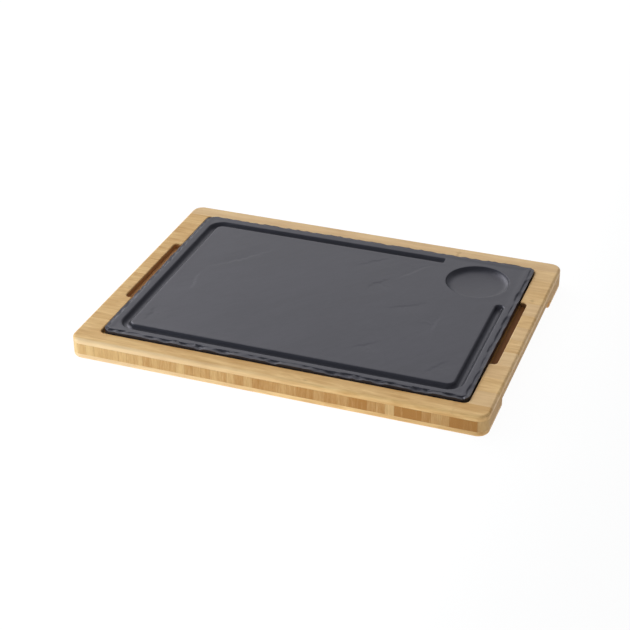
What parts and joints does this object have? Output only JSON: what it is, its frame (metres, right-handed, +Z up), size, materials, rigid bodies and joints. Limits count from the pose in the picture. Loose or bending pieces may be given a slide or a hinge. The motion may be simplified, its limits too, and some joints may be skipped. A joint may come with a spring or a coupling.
{
  "type": "serving board",
  "caption": "Rectangular three-ply bamboo tray with a loose slate-look plate let into its top; juice groove and sauce well in the plate, finger slots and hand grips at the tray's ends.",
  "frame": {"origin": "under the middle of the tray, on the surface it stands on", "axes": "+X along the tray's length, +Y from front to back, +Z up"},
  "size_m": [0.375, 0.275, 0.0223],
  "materials": {
    "bamboo_face": "oiled, satin",
    "bamboo_core": "oiled, satin",
    "stoneware": "matt charcoal, split-slate look"
  },
  "bodies": {
    "tray": {"top_rail_front": "bamboo_face", "top_rail_back": "bamboo_face", "top_left_01": "bamboo_face", "top_left_02": "bamboo_face", "top_left_03": "bamboo_face", "top_left_04": "bamboo_face", "top_left_05": "bamboo_face", "top_left_06": "bamboo_face", "top_left_07": "bamboo_face", "top_left_08": "bamboo_face", "top_left_09": "bamboo_face", "top_left_10": "bamboo_face", "top_left_11": "bamboo_face", "top_right_01": "bamboo_face", "top_right_02": "bamboo_face", "top_right_03": "bamboo_face", "top_right_04": "bamboo_face", "top_right_05": "bamboo_face", "top_right_06": "bamboo_face", "top_right_07": "bamboo_face", "top_right_08": "bamboo_face", "top_right_09": "bamboo_face", "top_right_10": "bamboo_face", "top_right_11": "bamboo_face", "core_01": "bamboo_core", "core_02": "bamboo_core", "core_03": "bamboo_core", "core_04": "bamboo_core", "core_05": "bamboo_core", "core_06": "bamboo_core", "core_07": "bamboo_core", "core_08": "bamboo_core", "core_09": "bamboo_core", "core_10": "bamboo_core", "core_11": "bamboo_core", "core_12": "bamboo_core", "core_13": "bamboo_core", "core_14": "bamboo_core", "core_15": "bamboo_core", "core_16": "bamboo_core", "core_17": "bamboo_core", "core_18": "bamboo_core", "core_19": "bamboo_core", "core_20": "bamboo_core", "core_21": "bamboo_core", "core_22": "bamboo_core", "core_23": "bamboo_core", "core_24": "bamboo_core", "base_01": "bamboo_face", "base_02": "bamboo_face", "base_03": "bamboo_face", "base_04": "bamboo_face", "base_05": "bamboo_face", "base_06": "bamboo_face", "base_07": "bamboo_face", "base_08": "bamboo_face", "base_09": "bamboo_face", "base_10": "bamboo_face", "base_11": "bamboo_face"},
    "plate": {"plate": "stoneware"}
  },
  "joints": [
    {"name": "plate_lift", "type": "slide", "parent": "tray", "child": "plate", "axis": [0, 0, 1], "range_m": [0, 0.04]}
  ]
}
